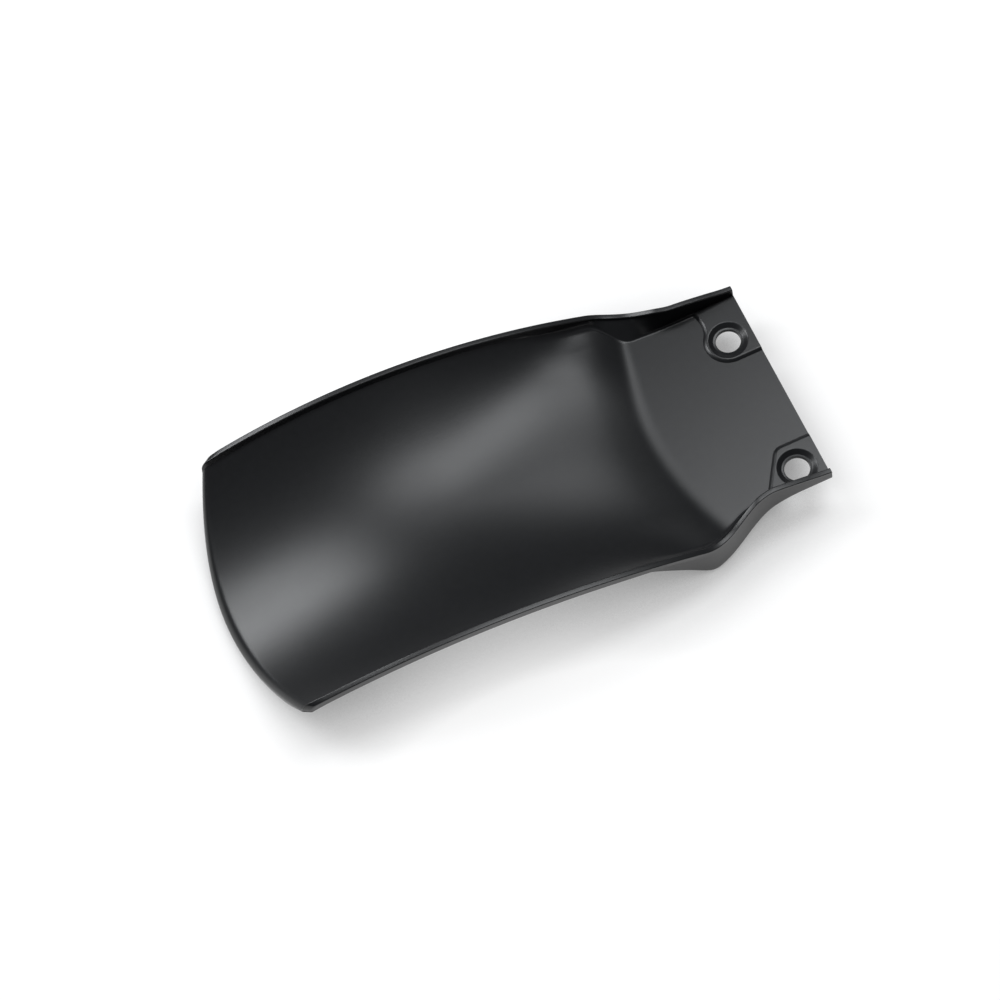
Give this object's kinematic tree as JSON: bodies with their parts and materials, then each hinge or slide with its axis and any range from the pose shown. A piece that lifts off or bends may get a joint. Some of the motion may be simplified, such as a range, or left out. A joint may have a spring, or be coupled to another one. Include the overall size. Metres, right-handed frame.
{
  "type": "shock mud flap",
  "caption": "Arched, dished mud flap with turned-up side rims, a turned-down end lip and a flat bolt-on mounting plate between low side walls.",
  "frame": {"origin": "midway between the two bolt holes, on the plate's top face", "axes": "+Z out of the plate's top face, +X towards the square-cut plate end, -X along the blade, bolt row along Y"},
  "size_m": [0.2362, 0.117, 0.0472],
  "materials": {
    "shell": "satin black with a fine moulded grain"
  },
  "bodies": {
    "root": {"flap": "shell"}
  },
  "joints": []
}
